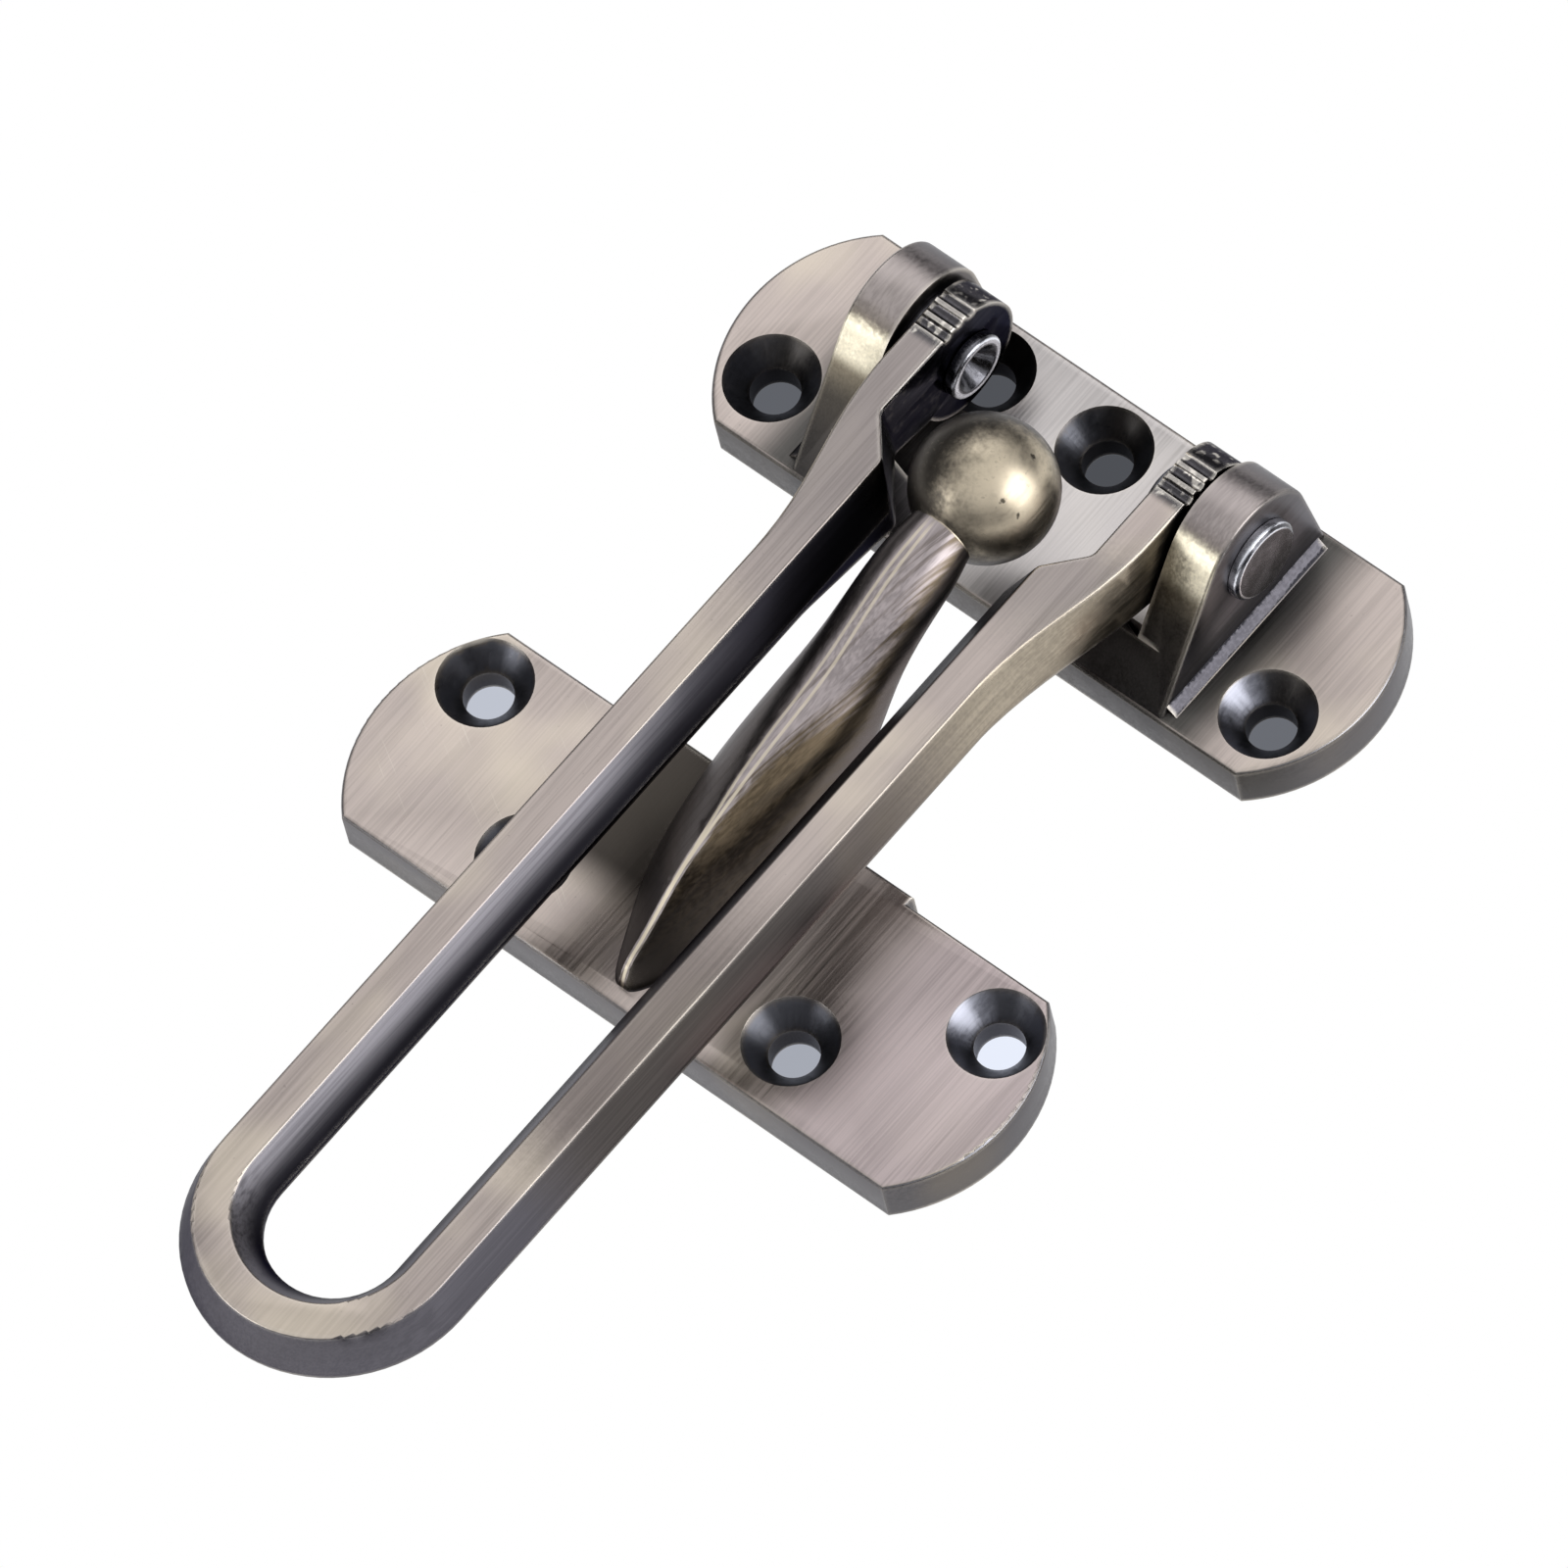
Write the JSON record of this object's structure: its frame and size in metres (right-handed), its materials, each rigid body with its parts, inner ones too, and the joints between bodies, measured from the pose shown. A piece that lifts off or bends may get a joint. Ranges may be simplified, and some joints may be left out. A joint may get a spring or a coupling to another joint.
{
  "type": "door guard",
  "caption": "Door guard: a U-shaped bar hinged on a screw-on bracket swings over a ball stud whose neck slides in the bar's slot.",
  "frame": {"origin": "centre of the bracket plate's back face, on the wall plane", "axes": "+X along both plates, +Y from the stud plate to the bracket, +Z away from the door and frame"},
  "size_m": [0.0804, 0.1362, 0.0284],
  "materials": {
    "bracket_metal": "brushed antique bronze plating on die-cast zinc",
    "bar_metal": "brushed antique bronze plating on die-cast zinc",
    "stud_metal": "brushed antique bronze plating on die-cast zinc",
    "rivet_steel": "dark plated steel with bright rims",
    "washer_steel": "dark steel"
  },
  "bodies": {
    "fixed_plates": {"hinge_bracket": "bracket_metal", "left_hinge_rivet": "rivet_steel", "right_hinge_rivet": "rivet_steel", "left_friction_washer": "washer_steel", "right_friction_washer": "washer_steel", "stud_plate": "stud_metal"},
    "bar": {"swing_bar": "bar_metal"}
  },
  "joints": [
    {"name": "bar_hinge", "type": "hinge", "parent": "fixed_plates", "child": "bar", "pos_m": [0, 0.0037, 0.0146], "axis": [-1, 0, 0], "range_deg": [0, 180]}
  ]
}
